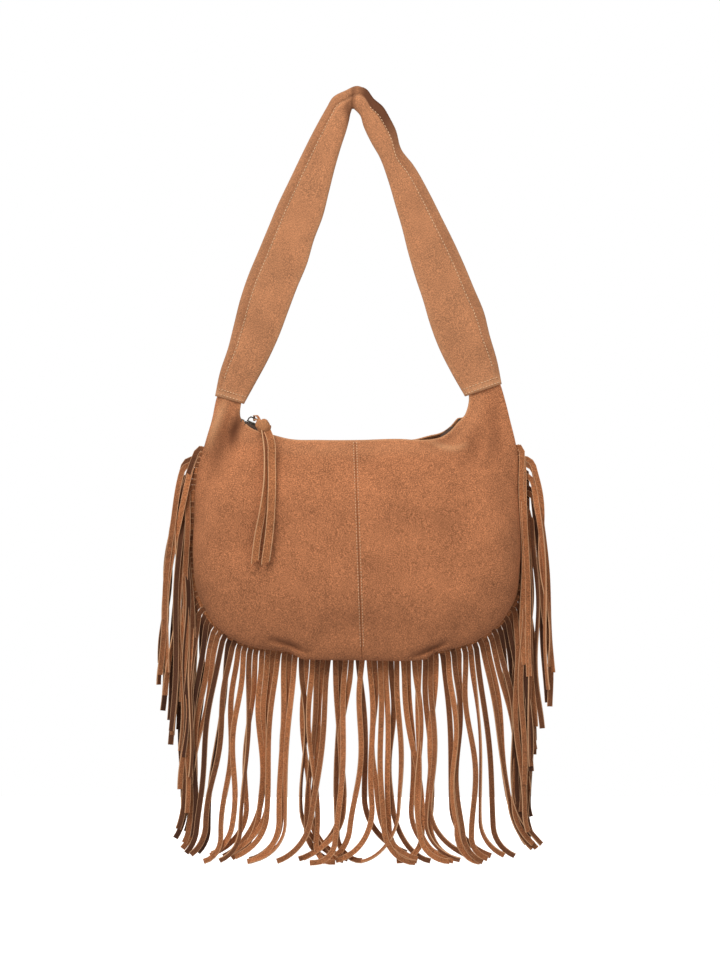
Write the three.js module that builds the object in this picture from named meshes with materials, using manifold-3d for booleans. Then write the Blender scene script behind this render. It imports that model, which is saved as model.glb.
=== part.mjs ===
// A fringed suede shoulder bag hanging by its strap.
// The body is a crescent of two front and two back suede panels round a fabric lining, closed along
// the top by a metal zip whose slider is drawn by a knotted suede thong.  One long strip of suede, cut
// into fringe, is sewn into the seam that joins front to back, and a folded suede tube is the strap.
//
// Millimetres, +Z up, +X to the right of someone facing the front of the bag, -Y towards that person.
// The origin is where the strap rests on the peg or shoulder that carries it.

import * as THREE from "three";
import { mergeVertices } from "three/addons/utils/BufferGeometryUtils.js";
import Module from "manifold-3d";

const wasm = await Module();
wasm.setup();

// ---- driving dimensions -------------------------------------------------------------------------

const SUEDE = 1.4; // thickness of the suede
const CLOTH = 0.7; // thickness of the lining cloth
const GAP = 0.3; // left between pieces that touch
const FRINGE_SUEDE = 1.2; // thickness of the fringe strip
const HALF_DEPTH = 43; // from the seam plane to the fullest part of the front
const EAR_DEPTH = 3.2; // the same at the top of an ear, where it goes into the strap
const RISE = 32; // how quickly the front fills out below the top edge
const ROUND = 66; // width of the rounding next to the outer seam
const OVERHANG = 7; // how far the full belly hangs below the seam under it

const SEAM_Y = FRINGE_SUEDE / 2 + GAP; // face of a panel where it meets the fringe header
const HEM_Y = 6.4; // from the zip's centre line to the panel's edge

// The zip follows an arc.  Angles are measured at its centre from straight down, positive to the right.
const ZIP_CENTRE = new THREE.Vector2(-2, -75);
const ZIP_RADIUS = 262;
const ZIP_LEFT = -24.1;
const ZIP_RIGHT = 24.4;
const SLIDER_ANGLE = -22.3; // where the slider stands when the zip is closed
const TOOTH_PITCH = 5;
const TOOTH_HALF_HEIGHT = 1.1;
const TEETH_SLIT = 0.4; // each row stops this far from the centre line, so the slider's post can pass

// Edges of the front view, as (x, z).  Both run from the left ear to the right one.
const TOP_EDGE = curve([
  [-110.5, -284.5], [-112, -297], [-113.6, -306], [-112.8, -315], [-104, -320.5], [-91, -324.5],
  [-74, -330], [-48, -334], [4, -334.5], [58, -334], [82, -331], [96, -323.5], [107, -314],
  [114.4, -304], [116.8, -293], [115.2, -281],
]);
const OUTLINE = curve([
  [-130.5, -277.5], [-136, -292], [-147.5, -340], [-156.5, -392], [-158, -452], [-147, -497],
  [-112, -532], [-55, -543], [8, -544], [72, -543.5], [122, -532], [157, -504], [167, -458],
  [166, -395], [162.5, -338], [150, -282], [142.5, -267],
]);

// The strap's outer and inner edges, from the left ear over the top to the right ear.
const STRAP_OUTER = curve([
  [-137, -288], [-128, -253], [-117, -211], [-98, -155], [-76, -103], [-54, -56], [-37, -18],
  [-26, 4], [-11, 16], [5, 22.5], [18, 13], [31, -2], [42, -24], [50, -46], [64, -65], [87, -104],
  [106, -143], [123, -183], [138, -229], [145, -255], [149, -275],
]);
const STRAP_INNER = curve([
  [-108, -297], [-91, -264], [-69, -220], [-51, -172], [-34, -122], [-19, -71], [-8, -28],
  [-4.5, -9], [-2.5, -1.5], [0, 0], [2.5, -4], [8, -8], [11.5, -21], [19, -37], [29, -62],
  [45, -108], [57, -147], [72, -196], [88, -243], [100, -268], [113, -289],
]);
const STRAP_HALF_THICKNESS = [5.2, 3.6, 3.4, 4.2, 7.5, 4.2, 3.4, 3.6, 5.2]; // evenly spaced along it

const FRINGE_START = new THREE.Vector2(-147.5, -340);
const FRINGE_END = new THREE.Vector2(162.5, -338);
const FRINGE_PITCH = 5.6;
const FRINGE_WIDTH = 4.9;
const FRINGE_LENGTH = 226;
const FRINGE_HEADER = 8; // depth of the uncut header inside the seam
const FRINGE_PILE = 1.65; // strips lying on each other at the sides stand this far apart
const FLOOR_Z = -757; // the tips just reach the surface below the hanging bag

// ---- materials ----------------------------------------------------------------------------------

const finish = (color, roughness, metalness = 0) =>
  new THREE.MeshStandardMaterial({ color, roughness, metalness });
const suede = finish(0xb4774d, 0.95);
const fringeSuede = finish(0x9a6340, 0.95);
const liningCloth = finish(0x6f4f38, 0.9);
const zipTape = finish(0x4a3c33, 0.9);
const gunmetal = finish(0x3a3835, 0.35, 1);

// ---- small tools --------------------------------------------------------------------------------

function curve(points) {
  return new THREE.CatmullRomCurve3(points.map(([x, z]) => new THREE.Vector3(x, 0, z)), false, "centripetal");
}

const clamp01 = (t) => Math.min(1, Math.max(0, t));
const smooth = (t) => clamp01(t) ** 2 * (3 - 2 * clamp01(t));
const mix = (a, b, t) => a + (b - a) * t;
const radians = THREE.MathUtils.degToRad;

// A value read from evenly spaced samples.
function along(samples, t) {
  const place = clamp01(t) * (samples.length - 1);
  const i = Math.min(samples.length - 2, Math.floor(place));
  return mix(samples[i], samples[i + 1], smooth(place - i));
}

// A closed body from two grids of points, the face side and the far side of a thick sheet.
// With wrap, each row closes on itself, which makes a hollow tube.
function thickSheet(face, far, wrap = false) {
  const rows = face.length;
  const columns = face[0].length;
  const position = [...face, ...far].flat().flatMap((p) => [p.x, p.y, p.z]);
  const at = (side, i, j) => side * rows * columns + i * columns + (j % columns);
  const index = [];
  const quad = (a, b, c, d) => index.push(a, b, c, a, c, d);
  const last = wrap ? columns : columns - 1;
  for (let i = 0; i < rows - 1; i++) {
    for (let j = 0; j < last; j++) {
      quad(at(0, i, j), at(0, i + 1, j), at(0, i + 1, j + 1), at(0, i, j + 1));
      quad(at(1, i, j), at(1, i, j + 1), at(1, i + 1, j + 1), at(1, i + 1, j));
    }
  }
  for (let j = 0; j < last; j++) {
    quad(at(0, 0, j), at(0, 0, j + 1), at(1, 0, j + 1), at(1, 0, j));
    quad(at(0, rows - 1, j), at(1, rows - 1, j), at(1, rows - 1, j + 1), at(0, rows - 1, j + 1));
  }
  if (!wrap) {
    for (let i = 0; i < rows - 1; i++) {
      quad(at(0, i, 0), at(1, i, 0), at(1, i + 1, 0), at(0, i + 1, 0));
      quad(at(0, i, last), at(0, i + 1, last), at(1, i + 1, last), at(1, i, last));
    }
  }
  return facingOut(position, index);
}

// A bar of four-cornered section.  Each station gives its centre, its width and thickness vectors.
function ribbon(stations) {
  const face = stations.map(({ centre, across, through }) => [
    centre.clone().sub(across).sub(through), centre.clone().add(across).sub(through),
  ]);
  const far = stations.map(({ centre, across, through }) => [
    centre.clone().sub(across).add(through), centre.clone().add(across).add(through),
  ]);
  return thickSheet(face, far);
}

function facingOut(position, index) {
  const geometry = new THREE.BufferGeometry();
  geometry.setAttribute("position", new THREE.Float32BufferAttribute(position, 3));
  const p = (k) => new THREE.Vector3().fromArray(position, 3 * k);
  let volume = 0;
  for (let i = 0; i < index.length; i += 3) {
    volume += p(index[i]).dot(p(index[i + 1]).cross(p(index[i + 2])));
  }
  geometry.setIndex(volume < 0 ? index.reverse() : index);
  return geometry;
}

function solidOf(geometry) {
  const bare = geometry.index ? geometry.toNonIndexed() : geometry.clone();
  const merged = mergeVertices(
    new THREE.BufferGeometry().setAttribute("position", bare.getAttribute("position")), 1e-3);
  return new wasm.Manifold(new wasm.Mesh({
    numProp: 3,
    vertProperties: merged.attributes.position.array,
    triVerts: new Uint32Array(merged.index.array),
  }));
}

function joined(geometries) {
  return geometryOf(wasm.Manifold.union(geometries.map(solidOf)));
}

function geometryOf(solid) {
  const mesh = solid.getMesh();
  const geometry = new THREE.BufferGeometry();
  geometry.setAttribute("position", new THREE.BufferAttribute(new Float32Array(mesh.vertProperties), 3));
  geometry.setIndex(new THREE.BufferAttribute(new Uint32Array(mesh.triVerts), 1));
  return geometry;
}

function box(x0, x1, y0, y1, z0, z1) {
  return new THREE.BoxGeometry(x1 - x0, y1 - y0, z1 - z0)
    .translate((x0 + x1) / 2, (y0 + y1) / 2, (z0 + z1) / 2);
}

const bag = new THREE.Group();

function add(name, geometry, material, parent = bag) {
  const mesh = new THREE.Mesh(geometry, material);
  mesh.name = name;
  parent.add(mesh);
  return mesh;
}

// ---- the crescent body --------------------------------------------------------------------------

// Height of the zip's arc at x.  Past its ends the arc keeps its end height.
function zipHeight(x) {
  const reach = ZIP_RADIUS * Math.sin(radians(ZIP_RIGHT));
  const dx = Math.max(-reach, Math.min(reach, x - ZIP_CENTRE.x));
  return ZIP_CENTRE.y - Math.sqrt(ZIP_RADIUS ** 2 - dx ** 2);
}

// Where the panels' top edge runs lower than the zip, the zip's tape slopes down behind it.
const TAPE_SLOPE_MOST = 7;

function tapeSlope(x) {
  let lowest = -Infinity;
  for (let i = 0; i <= 200; i++) {
    const p = TOP_EDGE.getPointAt(mix(0.1, 0.9, i / 200));
    if (Math.abs(p.x - x) < 2.5) lowest = lowest === -Infinity ? p.z : Math.min(lowest, p.z);
  }
  return Math.max(0, Math.min(TAPE_SLOPE_MOST, zipHeight(x) - (lowest - 3.4)));
}

// One cross line of the crescent at u, from 0 at the left ear to 1 at the right ear.
function crossLine(u) {
  const top = TOP_EDGE.getPointAt(u);
  const seam = OUTLINE.getPointAt(u);
  const length = top.distanceTo(seam);
  const down = seam.clone().sub(top).normalize();
  const zipShare = smooth((Math.min(u, 1 - u) - 0.06) / 0.045);
  return {
    top, down, length,
    hem: mix(SEAM_Y, HEM_Y, zipShare),
    depth: EAR_DEPTH + (HALF_DEPTH - EAR_DEPTH) * smooth((length - 26) / 140),
    overhang: OVERHANG * smooth((length - 185) / 25),
  };
}

// Depth of the front at distance d down a cross line.  It is never less than the suede is thick.
function frontDepth(line, d) {
  const full = line.hem + (line.depth - line.hem) * (1 - Math.exp(-(d + 2.5) / RISE));
  const fromSeam = clamp01((line.length - d) / Math.min(ROUND, line.length * 0.75));
  const rounded = (full - SEAM_Y) * Math.sqrt(Math.max(0, 1 - (1 - fromSeam) ** 2));
  return SEAM_Y + Math.max(SUEDE, rounded);
}

// The face of a panel along a cross line, as (distance down the line, depth) pairs.  It starts at the
// cut edge beside the zip and goes down the front to the outer seam.
const PANEL_STEPS = 9;

function panelFace(line) {
  const path = [[0, frontDepth(line, 0)]];
  for (let k = 1; k < PANEL_STEPS; k++) {
    const t = 0.5 - 0.5 * Math.cos((Math.PI * (k + 0.6)) / (PANEL_STEPS + 0.6));
    const sag = line.overhang * Math.exp(-(((1 - t) * line.length - 14) ** 2) / 160);
    path.push([t * line.length + sag, frontDepth(line, t * line.length)]);
  }
  path.push([line.length, SEAM_Y + SUEDE]);
  return path;
}

// The same path moved into the bag by a distance.  Where it would come too near the seam plane to
// leave a hollow worth having, it passes beyond that plane.
const LEAST_HOLLOW = 0.5;
const BEYOND = -1;

function inset(path, distance) {
  const normals = path.slice(1).map(([d, y], i) => {
    const step = new THREE.Vector2(d - path[i][0], y - path[i][1]).normalize();
    return new THREE.Vector2(step.y, -step.x);
  });
  return path.map(([d, y], i) => {
    const a = normals[Math.max(0, i - 1)];
    const b = normals[Math.min(normals.length - 1, i)];
    const n = a.clone().add(b).normalize();
    const reach = Math.min(1.6, 1 / Math.max(0.3, n.dot(a)));
    const inner = y + n.y * distance * reach;
    return [d + n.x * distance * reach, inner > SEAM_Y + LEAST_HOLLOW ? inner : BEYOND];
  });
}

// Places a (distance, depth) pair of a cross line in space.  side is -1 at the front, 1 at the back.
function place(line, [d, y], side) {
  return line.top.clone().addScaledVector(line.down, d).setY(side * y);
}

// A solid lens over the cross lines at the given shares: its face follows a section, its back is flat.
function lens(shares, side, section, backY) {
  const face = [];
  const back = [];
  for (const u of shares) {
    const line = crossLine(u);
    const path = section(line);
    const first = path[0][0];
    const last = path[path.length - 1][0];
    face.push(path.map((p) => place(line, p, side)));
    back.push(path.map((_, k) => place(line, [mix(first, last, k / (path.length - 1)), backY], side)));
  }
  return solidOf(thickSheet(face, back));
}

// The hollow behind a face: the face moved in by a distance and carried on past the top edge.
const OPENING = 5;

function hollowFace(path, distance, end) {
  const inner = inset(path, distance);
  const [[d0, y0], [d1, y1]] = inner;
  const slope = (y1 - y0) / (d1 - d0);
  return [[d0 - OPENING, Math.max(BEYOND, y0 - OPENING * slope)], ...inner.slice(0, -1), end];
}

const PANEL_LINES = 13;
const SEAM_SHARE = 0.5; // the centre seam's place between the ears
const SEAM_GAP_SHARE = 0.0004;
const SEAM_RING = 3.5; // width of the flat edge sewn into the outer seam
const leftShares = Array.from({ length: PANEL_LINES + 1 },
  (_, i) => mix(0, SEAM_SHARE - SEAM_GAP_SHARE, i / PANEL_LINES));
const rightShares = leftShares.map((u) => 1 - u).reverse();

const panelHollow = (line) => hollowFace(panelFace(line), SUEDE, [line.length - SEAM_RING, BEYOND]);

function panel(shares, hollowShares, side) {
  const whole = lens(shares, side, panelFace, SEAM_Y);
  return geometryOf(whole.subtract(lens(hollowShares, side, panelHollow, BEYOND - 1)));
}

for (const [name, side] of [["front", -1], ["back", 1]]) {
  const left = [...leftShares.slice(1), SEAM_SHARE + 0.01];
  const right = [SEAM_SHARE - 0.01, ...rightShares.slice(0, -1)];
  add(`${name}_panel_left`, panel(leftShares, left, side), suede);
  add(`${name}_panel_right`, panel(rightShares, right, side), suede);
}

// The lining is a sack of two pieces.  It hangs just inside the suede, from below the zip tape.
const LINING_SKIPS = 4; // cross lines without lining at each ear
const LINING_CLEAR = 2;
const LINING_BASE_Y = 1.8;
const liningShares = [...leftShares.slice(LINING_SKIPS), ...rightShares.slice(1, -LINING_SKIPS)];
const LINING_END = 0.0025; // share taken by the closed end of the sack
const liningHollowShares = [
  liningShares[0] + LINING_END, ...liningShares.slice(1, -1), liningShares[liningShares.length - 1] - LINING_END,
];

function liningFace(line, extra) {
  const path = inset(panelFace(line), SUEDE + LINING_CLEAR + extra).slice(0, -1);
  const [[d0, y0], [d1, y1]] = path;
  return [[mix(d0, d1, 0.55), mix(y0, y1, 0.55)], ...path.slice(1)];
}

function liningHollow(line) {
  const path = liningFace(line, CLOTH);
  const [[d0, y0], [d1, y1]] = path;
  const [lastD, lastY] = path[path.length - 1];
  const slope = (y1 - y0) / (d1 - d0);
  return [[d0 - OPENING, y0 - OPENING * slope], ...path.slice(0, -1), [lastD - CLOTH, lastY]];
}

for (const [name, side] of [["front", -1], ["back", 1]]) {
  const whole = lens(liningShares, side, (line) => liningFace(line, 0), LINING_BASE_Y);
  const inside = lens(liningHollowShares, side, liningHollow, BEYOND);
  add(`lining_${name}`, geometryOf(whole.subtract(inside)), liningCloth);
}

// ---- the strap ----------------------------------------------------------------------------------

// A folded tube, open at both ends, that sleeves over the ears.
const STRAP_RINGS = 30;
const STRAP_SIDES = 12;

function strapRing(t, wall) {
  const outer = STRAP_OUTER.getPoint(t);
  const inner = STRAP_INNER.getPoint(t);
  const centre = outer.clone().add(inner).multiplyScalar(0.5);
  const across = outer.clone().sub(inner).multiplyScalar(0.5);
  across.setLength(across.length() - wall);
  const thickness = along(STRAP_HALF_THICKNESS, t) - wall;
  const ring = [];
  for (let k = 0; k < STRAP_SIDES; k++) {
    const a = (2 * Math.PI * (k + 0.5)) / STRAP_SIDES;
    const squared = (c) => Math.sign(c) * Math.abs(c) ** 0.6;
    ring.push(centre.clone().addScaledVector(across, squared(Math.cos(a)))
      .setY(thickness * squared(Math.sin(a))));
  }
  return ring;
}

const ringShares = Array.from({ length: STRAP_RINGS + 1 }, (_, i) => i / STRAP_RINGS);
add("strap", thickSheet(
  ringShares.map((t) => strapRing(t, 0)),
  ringShares.map((t) => strapRing(t, SUEDE)), true), suede);

// ---- the fringe ---------------------------------------------------------------------------------

// Length of the outline, and the share of it nearest to a point.
function shareNear(point) {
  let best = 0;
  for (let i = 0; i <= 2000; i++) {
    const p = OUTLINE.getPointAt(i / 2000);
    const q = OUTLINE.getPointAt(best);
    if (Math.hypot(p.x - point.x, p.z - point.y) < Math.hypot(q.x - point.x, q.z - point.y)) {
      best = i / 2000;
    }
  }
  return best;
}

const fringeFrom = shareNear(FRINGE_START);
const fringeTo = shareNear(FRINGE_END);
const fringeCount = Math.round(((fringeTo - fringeFrom) * OUTLINE.getLength()) / FRINGE_PITCH);

// The seam at one strip: its place, its direction and the way out of the bag.
function seamAt(share) {
  const place3 = OUTLINE.getPointAt(share);
  const along3 = OUTLINE.getTangentAt(share);
  return { place: place3, along: along3, out: new THREE.Vector3(along3.z, 0, -along3.x) };
}

const fringeShare = (k) => mix(fringeFrom, fringeTo, (k + 0.5) / fringeCount);
const seams = Array.from({ length: fringeCount }, (_, k) => seamAt(fringeShare(k)));

// Side strips lean on the ones below them, so each stands off by the number of strips under it.
function pileBelow(k) {
  const side = Math.sign(seams[k].out.x);
  const step = seams[k].place.x < 0 ? 1 : -1;
  let pile = 0;
  for (let n = k + step; n >= 0 && n < fringeCount && Math.abs(seams[n].out.x) > 0.75; n += step) {
    pile += 1;
  }
  return { pile, side };
}

function fringeStrip(k) {
  const { place: root, along: tangent, out } = seams[k];
  const half = FRINGE_WIDTH / 2;
  const thick = FRINGE_SUEDE / 2;
  const sideShare = smooth((Math.abs(out.x) - 0.25) / 0.6);
  const { pile, side } = pileBelow(k);
  // At the sides the strip turns to face sideways as it falls, at the bottom it faces forwards.
  const turn = sideShare * Math.PI / 2;
  const hanging = new THREE.Vector3(Math.cos(turn), Math.sin(turn), 0);
  const through = new THREE.Vector3(-Math.sin(turn), Math.cos(turn), 0);
  const flat = { across: tangent.clone().multiplyScalar(half), through: new THREE.Vector3(0, thick, 0) };
  const hung = { across: hanging.multiplyScalar(half), through: through.multiplyScalar(thick) };
  const station = (centre, frame) => ({ centre, ...frame });
  const start = root.clone().addScaledVector(out, -2);
  const leave = root.clone().addScaledVector(out, 3);
  const bend = root.clone().addScaledVector(out, 5 + 4 * sideShare).add(new THREE.Vector3(0, 0, -9));
  const fall = FRINGE_LENGTH - 12 * sideShare;
  const tip = bend.clone().add(new THREE.Vector3(side * pile * FRINGE_PILE * sideShare * 0.8, 0, -fall));
  tip.z = Math.max(tip.z, FLOOR_Z + 0.5 + (k % 3) * 1.5);
  const spread = bend.clone().lerp(tip, 0.5);
  spread.x += side * pile * FRINGE_PILE * sideShare * 0.2;
  return ribbon([
    station(start, flat), station(leave, flat),
    station(bend, hung), station(spread, hung), station(tip, hung),
  ]);
}

function fringeHeader() {
  const face = [];
  const far = [];
  const steps = 48;
  for (let i = 0; i <= steps; i++) {
    const { place: p, out } = seamAt(mix(fringeFrom, fringeTo, i / steps));
    const rim = [p.clone().addScaledVector(out, -FRINGE_HEADER), p.clone().addScaledVector(out, 1.5)];
    face.push(rim.map((q) => q.clone().setY(-FRINGE_SUEDE / 2)));
    far.push(rim.map((q) => q.clone().setY(FRINGE_SUEDE / 2)));
  }
  return thickSheet(face, far);
}

add("fringe", joined([fringeHeader(), ...seams.map((_, k) => fringeStrip(k))]), fringeSuede);

// ---- the zip ------------------------------------------------------------------------------------

// A point on or beside the zip: angle along the arc, height above it towards its centre, and y.
function zipPoint(angle, rise, y) {
  const a = radians(angle);
  return new THREE.Vector3(
    ZIP_CENTRE.x + (ZIP_RADIUS - rise) * Math.sin(a), y, ZIP_CENTRE.y - (ZIP_RADIUS - rise) * Math.cos(a));
}

const TAPE_FLAT_Y = 4.6;
const TAPE_HALF = 0.4;
const TOOTH_ROOT_Y = 3.2;
const TAPE_INNER_Y = TOOTH_ROOT_Y + GAP;
const TAPE_STEPS = 22;
const TAPE_NARROW = 5.5; // how far the tape reaches out at the zip's ends
const TAPE_WIDE = 7.4; // and along its middle

function zipTapeSheet(side) {
  const row = (angle, rise) => {
    const { x } = zipPoint(angle, 0, 0);
    const reach = mix(TAPE_NARROW, TAPE_WIDE, smooth((110 - Math.abs(x - 2)) / 60));
    return [
      zipPoint(angle, rise, side * TAPE_INNER_Y),
      zipPoint(angle, rise, side * TAPE_FLAT_Y),
      zipPoint(angle, rise - tapeSlope(x), side * reach),
    ];
  };
  const angles = Array.from({ length: TAPE_STEPS + 1 }, (_, i) => mix(ZIP_LEFT, ZIP_RIGHT, i / TAPE_STEPS));
  return thickSheet(angles.map((a) => row(a, TAPE_HALF)), angles.map((a) => row(a, -TAPE_HALF)));
}

// One row of teeth on its cord: a strip with a tooth standing towards the other row at each pitch.
function zipTeethRow(side, shift) {
  const pitch = THREE.MathUtils.radToDeg(TOOTH_PITCH / ZIP_RADIUS);
  const count = Math.floor((ZIP_RIGHT - ZIP_LEFT - 2) / pitch);
  const spine = [2.3, TOOTH_ROOT_Y];
  const face = [];
  const far = [];
  const rowAt = (angle, reach, rise) => [
    zipPoint(angle, rise, side * reach), zipPoint(angle, rise, side * spine[1]),
  ];
  for (let k = 0; k < count; k++) {
    const centre = ZIP_LEFT + 1 + (k + shift) * pitch;
    const tooth = [[-0.27, spine[0]], [-0.24, TEETH_SLIT], [0.24, TEETH_SLIT], [0.27, spine[0]]];
    for (const [offset, reach] of tooth) {
      face.push(rowAt(centre + offset * pitch, reach, TOOTH_HALF_HEIGHT));
      far.push(rowAt(centre + offset * pitch, reach, -TOOTH_HALF_HEIGHT));
    }
  }
  return thickSheet(face, far);
}

add("zip_tape_front", zipTapeSheet(-1), zipTape);
add("zip_tape_back", zipTapeSheet(1), zipTape);
add("zip_teeth_front", zipTeethRow(-1, 0.25), gunmetal);
add("zip_teeth_back", zipTeethRow(1, 0.75), gunmetal);

// A piece modelled flat, with +X along the zip and +Z away from it, set at an angle of the arc.
function zipFrame(angle) {
  const frame = new THREE.Group();
  const p = zipPoint(angle, 0, 0);
  frame.position.copy(p);
  frame.rotation.y = -radians(angle);
  bag.add(frame);
  return frame;
}

// Metal stops pressed on at both ends of the rows.
const STOP = { length: 3, high: 1.5 };
const stopBox = (y0, y1) => box(-STOP.length / 2, STOP.length / 2, y0, y1, -STOP.high, STOP.high);
add("zip_top_stop_front", stopBox(-3.1, -0.25), gunmetal, zipFrame(ZIP_LEFT - 0.2));
add("zip_top_stop_back", stopBox(0.25, 3.1), gunmetal, zipFrame(ZIP_LEFT - 0.2));
add("zip_bottom_stop", stopBox(-3.1, 3.1), gunmetal, zipFrame(ZIP_RIGHT + 0.2));

// The slider: two plates held apart by a thin post, with edges that lap over the tape, and a bridge.
const PLATE = { inside: 1.45, outside: 2.6, half: 4.6, nose: 5.2, tail: 5.2 };
const BRIDGE = { half: 1.1, bar: 6.3, top: 7.6 };

function extrudedAlongY(outline, hole, y0, y1) {
  const shape = new THREE.Shape(outline.map(([x, z]) => new THREE.Vector2(x, z)));
  if (hole) shape.holes.push(new THREE.Path(hole.map(([x, z]) => new THREE.Vector2(x, z))));
  const geometry = new THREE.ExtrudeGeometry(shape, { depth: y1 - y0, bevelEnabled: false });
  return geometry.rotateX(Math.PI / 2).translate(0, y1, 0);
}

function sliderPlate(z0, z1) {
  const plan = [
    [-PLATE.tail, -2.9], [-PLATE.tail + 1, -3.6], [-1, -3.9], [1.4, -PLATE.half],
    [PLATE.nose - 1.6, -PLATE.half], [PLATE.nose, -3.4], [PLATE.nose, 3.4], [PLATE.nose - 1.6, PLATE.half], [1.4, PLATE.half],
    [-1, 3.9], [-PLATE.tail + 1, 3.6], [-PLATE.tail, 2.9],
  ];
  const shape = new THREE.Shape(plan.map(([x, y]) => new THREE.Vector2(x, y)));
  return new THREE.ExtrudeGeometry(shape, { depth: z1 - z0, bevelEnabled: false }).translate(0, 0, z0);
}

function sliderBody() {
  const low = PLATE.outside - 0.1;
  const arch = [
    [-5.2, low], [-4.9, 5.2], [-3.2, BRIDGE.top], [3.6, BRIDGE.top], [4.9, 6.2], [5.1, low],
  ];
  const eye = [
    [-4.0, PLATE.outside + 0.2], [4.0, PLATE.outside + 0.2], [3.7, 5.6], [3.0, BRIDGE.bar],
    [-2.6, BRIDGE.bar], [-3.8, 4.8],
  ];
  const flange = (side, z0, z1) => box(-PLATE.tail + 2, PLATE.nose - 1.6,
    Math.min(side * 3.75, side * 4.4), Math.max(side * 3.75, side * 4.4), z0, z1);
  return joined([
    sliderPlate(PLATE.inside, PLATE.outside),
    sliderPlate(-PLATE.outside, -PLATE.inside),
    flange(-1, 0.85, 2), flange(1, 0.85, 2), flange(-1, -2, -0.85), flange(1, -2, -0.85),
    box(PLATE.nose - 3, PLATE.nose - 0.6, -0.2, 0.2, -2, 2),
    extrudedAlongY(arch, eye, -BRIDGE.half, BRIDGE.half),
  ]);
}

const slider = zipFrame(SLIDER_ANGLE);
slider.updateMatrix();
add("zip_slider", sliderBody(), gunmetal, slider);

// ---- the thong ----------------------------------------------------------------------------------

// A suede lace looped round the bridge's bar and tied in one knot, with two tails cut off aslant.
// It hangs plumb wherever the slider stands, so it is modelled about its pivot in the bar.
const THONG = { width: 7.5, thickness: 1.4, loopWidth: 1.8, loopThickness: 1.3, tail: 131 };
const KNOT = new THREE.Vector3(8.5, -22, -7);

// The loop lies across the zip: under the bar, round behind it, over it and forwards to the knot.
function thongLoop() {
  const path = [
    [5.5, -18, -5.6], [2, -9, -1.7], [0.4, -4, -2.1], [0, 1.4, -2.1], [0, 3, 0],
    [0, 1.4, 2.1], [0.4, -3, 2.3], [2, -9, 1], [5, -18, -4.5],
  ].map((p) => new THREE.Vector3(...p));
  const sideways = new THREE.Vector3(1, 0, 0);
  return ribbon(path.map((centre, i) => {
    const step = path[Math.min(i + 1, path.length - 1)].clone().sub(path[Math.max(0, i - 1)]).setX(0);
    const through = step.normalize().cross(sideways).multiplyScalar(THONG.loopThickness / 2);
    return { centre, across: sideways.clone().multiplyScalar(THONG.loopWidth / 2), through };
  }));
}

function thongKnot() {
  return new THREE.IcosahedronGeometry(1, 2).scale(8.2, 6.4, 7.2).rotateY(radians(-20)).translate(...KNOT);
}

// A tail bows forwards over the belly, from the knot to its cut end.
const TAIL_FRONT = 26.5; // how far its end hangs in front of the knot

function thongTail(startX, endX, width, slant) {
  const stations = [];
  const count = 6;
  for (let i = 0; i <= count; i++) {
    const t = i / count;
    const centre = new THREE.Vector3(
      KNOT.x + mix(startX, endX, t ** 1.5),
      KNOT.y - 2 - TAIL_FRONT * (1 - (1 - t) ** 2.4),
      KNOT.z - 4 - THONG.tail * t);
    const across = new THREE.Vector3(width / 2, 0, i === count ? slant : 0);
    stations.push({ centre, across, through: new THREE.Vector3(0, THONG.thickness / 2, 0) });
  }
  return ribbon(stations);
}

const thong = new THREE.Group();
thong.position.copy(new THREE.Vector3(0.4, 0, (BRIDGE.bar + BRIDGE.top) / 2).applyMatrix4(slider.matrix));
bag.add(thong);
add("puller_thong", joined([
  thongLoop(), thongKnot(), thongTail(-2.6, -10.5, 6.4, 2.2), thongTail(3.2, 3.4, THONG.width, 2.6),
]), suede, thong);

export default bag;
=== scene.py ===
import math

import bmesh
import bpy
import numpy as np
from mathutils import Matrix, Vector, noise


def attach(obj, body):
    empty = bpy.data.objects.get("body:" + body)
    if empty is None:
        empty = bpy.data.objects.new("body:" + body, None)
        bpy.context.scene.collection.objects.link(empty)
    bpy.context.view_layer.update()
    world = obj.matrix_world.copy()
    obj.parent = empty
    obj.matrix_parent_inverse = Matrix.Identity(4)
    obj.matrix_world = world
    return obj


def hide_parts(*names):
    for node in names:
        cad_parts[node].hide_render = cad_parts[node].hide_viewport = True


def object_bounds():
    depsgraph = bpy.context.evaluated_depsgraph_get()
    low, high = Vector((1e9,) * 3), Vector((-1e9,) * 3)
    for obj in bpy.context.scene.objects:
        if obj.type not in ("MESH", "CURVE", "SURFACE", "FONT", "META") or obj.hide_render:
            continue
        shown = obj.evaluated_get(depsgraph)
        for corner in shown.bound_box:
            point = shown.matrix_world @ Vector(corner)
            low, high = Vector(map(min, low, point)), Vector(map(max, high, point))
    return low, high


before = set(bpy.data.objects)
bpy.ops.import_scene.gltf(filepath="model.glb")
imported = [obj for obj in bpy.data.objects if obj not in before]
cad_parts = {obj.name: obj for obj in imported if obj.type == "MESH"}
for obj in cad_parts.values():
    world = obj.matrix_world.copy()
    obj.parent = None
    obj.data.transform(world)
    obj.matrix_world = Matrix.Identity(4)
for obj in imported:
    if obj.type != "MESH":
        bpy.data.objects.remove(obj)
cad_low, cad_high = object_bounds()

# The camera and the studio.  The bag hangs in front of a white sweep, seen level from straight in
# front through a long lens, under a large soft lamp from the upper left.
CAMERA_DISTANCE = 3.0
CAMERA_LENS = 111.1
CAMERA_SIDE_STEP = 0.0007
CAMERA_DROP = 0.0115
FLOOR_CLEARANCE = 0.001

MM = 0.001
middle = (cad_low + cad_high) / 2
camera_data = bpy.data.cameras.new("camera")
camera_data.lens = CAMERA_LENS
camera_data.sensor_width = 36
camera_data.clip_end = 20
camera = bpy.data.objects.new("camera", camera_data)
bpy.context.scene.collection.objects.link(camera)
camera.location = (middle.x + CAMERA_SIDE_STEP, -CAMERA_DISTANCE, middle.z - CAMERA_DROP)
camera.rotation_euler = (math.radians(90), 0, 0)
bpy.context.scene.camera = camera
bpy.context.scene.view_settings.view_transform = "Standard"


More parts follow.
